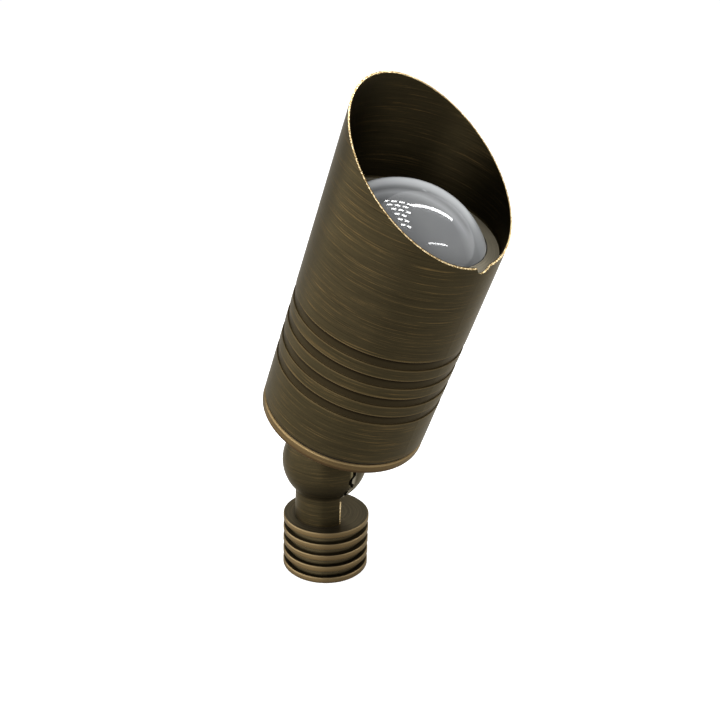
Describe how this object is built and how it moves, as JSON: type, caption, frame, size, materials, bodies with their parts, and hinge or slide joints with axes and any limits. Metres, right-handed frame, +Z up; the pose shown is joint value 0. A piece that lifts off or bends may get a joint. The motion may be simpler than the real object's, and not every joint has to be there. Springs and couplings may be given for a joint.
{
  "type": "garden spotlight",
  "caption": "Adjustable brass garden spotlight: slant-cut cowl over a domed lens, toothed tilt knuckle and a ribbed swivel hub with a pipe socket for a stake.",
  "frame": {"origin": "centre of the pipe socket's mouth, on the foot of the ribbed hub", "axes": "+Z up along the ribbed hub; the knuckle pin is parallel to Y; the lamp leans towards +X"},
  "size_m": [0.0855, 0.06, 0.1859],
  "materials": {
    "aged_brass": "dark antique brass, finely turned, with light edges",
    "plain_brass": "plain machined brass",
    "spring_steel": "bare stainless sheet",
    "screw_steel": "stainless steel",
    "seal_rubber": "matt black rubber",
    "clear_silicone": "milky silicone",
    "ceramic": "unglazed steatite",
    "lead_insulation": "woven glass sleeve",
    "board": "white board",
    "lamp_reflector": "bright faceted",
    "lamp_glass": "clear",
    "lens_glass": "clear"
  },
  "bodies": {
    "hub": {"ribbed_hub": "aged_brass", "stem_oring": "seal_rubber"},
    "lower_knuckle": {"knuckle_base": "aged_brass", "swivel_washer": "spring_steel", "swivel_locknut": "plain_brass"},
    "screw_washer": {"knuckle_washer": "spring_steel"},
    "screw": {"knuckle_screw": "screw_steel"},
    "head": {"knuckle_head": "aged_brass", "knuckle_oring": "seal_rubber", "rear_cap": "aged_brass", "cap_oring": "seal_rubber", "cap_locknut": "plain_brass", "lead_seal": "seal_rubber", "lampholder_bracket": "spring_steel", "bracket_screws": "screw_steel", "lampholder": "ceramic", "lampholder_contacts": "plain_brass", "lamp_lead_left": "lead_insulation", "lamp_lead_right": "lead_insulation", "lamp_pins": "screw_steel", "lamp_base": "ceramic", "lamp_reflector": "lamp_reflector", "lamp_board": "board", "lamp_optic": "lamp_glass"},
    "gasket": {"housing_gasket": "seal_rubber"},
    "housing": {"front_housing": "aged_brass", "lens_dome": "lens_glass", "lens_gasket": "clear_silicone", "lens_retainer": "plain_brass"}
  },
  "joints": [
    {"name": "swivel", "type": "hinge", "parent": "hub", "child": "lower_knuckle", "pos_m": [0, 0, 0.0216], "axis": [0, 0, 1], "range_deg": [-175, 175]},
    {"name": "tilt", "type": "hinge", "parent": "lower_knuckle", "child": "head", "pos_m": [0, 0, 0.0449], "axis": [0, 1, 0], "range_deg": [-112.5, 67.5]},
    {"name": "washer_lift", "type": "slide", "parent": "lower_knuckle", "child": "screw_washer", "axis": [0, 1, 0], "range_m": [0, 0.0015]},
    {"name": "knuckle_screw_turn", "type": "hinge", "parent": "screw_washer", "child": "screw", "pos_m": [0, 0, 0.0449], "axis": [0, 1, 0], "range_deg": [0, 540]},
    {"name": "gasket_lift", "type": "slide", "parent": "head", "child": "gasket", "axis": [0.3551, 0, 0.9348], "range_m": [0, 0.006]},
    {"name": "housing_unscrew", "type": "hinge", "parent": "gasket", "child": "housing", "pos_m": [0.00964, 0, 0.07027], "axis": [0.3551, 0, 0.9348], "range_deg": [0, 1440]}
  ],
  "couplings": [
    {"joint": "knuckle_screw_turn", "follows": "washer_lift", "rad_per_m": 6283.2},
    {"joint": "gasket_lift", "follows": "housing_unscrew", "m_per_rad": 0.00023873}
  ]
}
